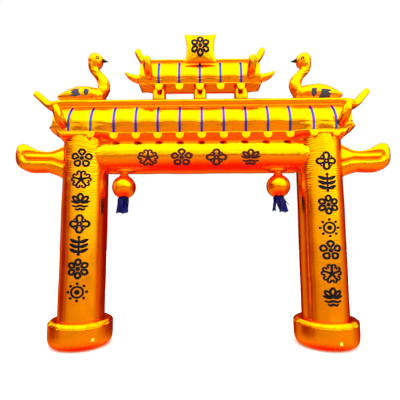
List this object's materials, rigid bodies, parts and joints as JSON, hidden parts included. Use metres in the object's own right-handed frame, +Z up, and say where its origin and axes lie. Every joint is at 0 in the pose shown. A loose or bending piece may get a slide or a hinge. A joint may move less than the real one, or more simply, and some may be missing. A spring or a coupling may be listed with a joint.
{
  "type": "inflatable arch",
  "caption": "Free-standing inflatable gate arch: two columns on drum bases, a beam, two tiers of hipped roofs with upturned horns, birds, scrolls and hanging lanterns.",
  "frame": {"origin": "on the ground, midway between the two columns, in the middle of the arch's depth", "axes": "+X along the beam to the right of someone facing the front, +Y from front to back, +Z up; the front faces -Y"},
  "size_m": [5.964, 1.0488, 4.837],
  "materials": {
    "gold_cloth": "satin metallised polyester cloth, air-filled, light puckers at the seams",
    "black_cloth": "matt black cloth",
    "navy_ribbon": "dark blue satin ribbon",
    "yellow_webbing": "yellow woven webbing"
  },
  "bodies": {
    "root": {"base_left": "gold_cloth", "base_right": "gold_cloth", "beak_left": "black_cloth", "beak_right": "black_cloth", "beam": "gold_cloth", "bird_left": "gold_cloth", "bird_right": "gold_cloth", "column_left": "gold_cloth", "column_right": "gold_cloth", "eave_trim_lower_back": "gold_cloth", "eave_trim_lower_front": "gold_cloth", "eave_trim_upper_back": "gold_cloth", "eave_trim_upper_front": "gold_cloth", "hip_lower_back_left": "gold_cloth", "hip_lower_back_right": "gold_cloth", "hip_lower_front_left": "gold_cloth", "hip_lower_front_right": "gold_cloth", "hip_upper_back_left": "gold_cloth", "hip_upper_back_right": "gold_cloth", "hip_upper_front_left": "gold_cloth", "hip_upper_front_right": "gold_cloth", "lantern_ball_left": "gold_cloth", "lantern_ball_right": "gold_cloth", "lantern_collar_left": "gold_cloth", "lantern_collar_right": "gold_cloth", "lantern_ribbons_left": "navy_ribbon", "lantern_ribbons_right": "navy_ribbon", "post_left": "gold_cloth", "post_middle": "gold_cloth", "post_right": "gold_cloth", "ridge_lower": "gold_cloth", "ridge_upper": "gold_cloth", "roof_lower": "gold_cloth", "roof_upper": "gold_cloth", "scroll_left": "gold_cloth", "scroll_right": "gold_cloth", "side_horn_left": "gold_cloth", "side_horn_right": "gold_cloth", "tablet": "gold_cloth", "tie_tab_left": "yellow_webbing", "tie_tab_right": "yellow_webbing"}
  },
  "joints": []
}
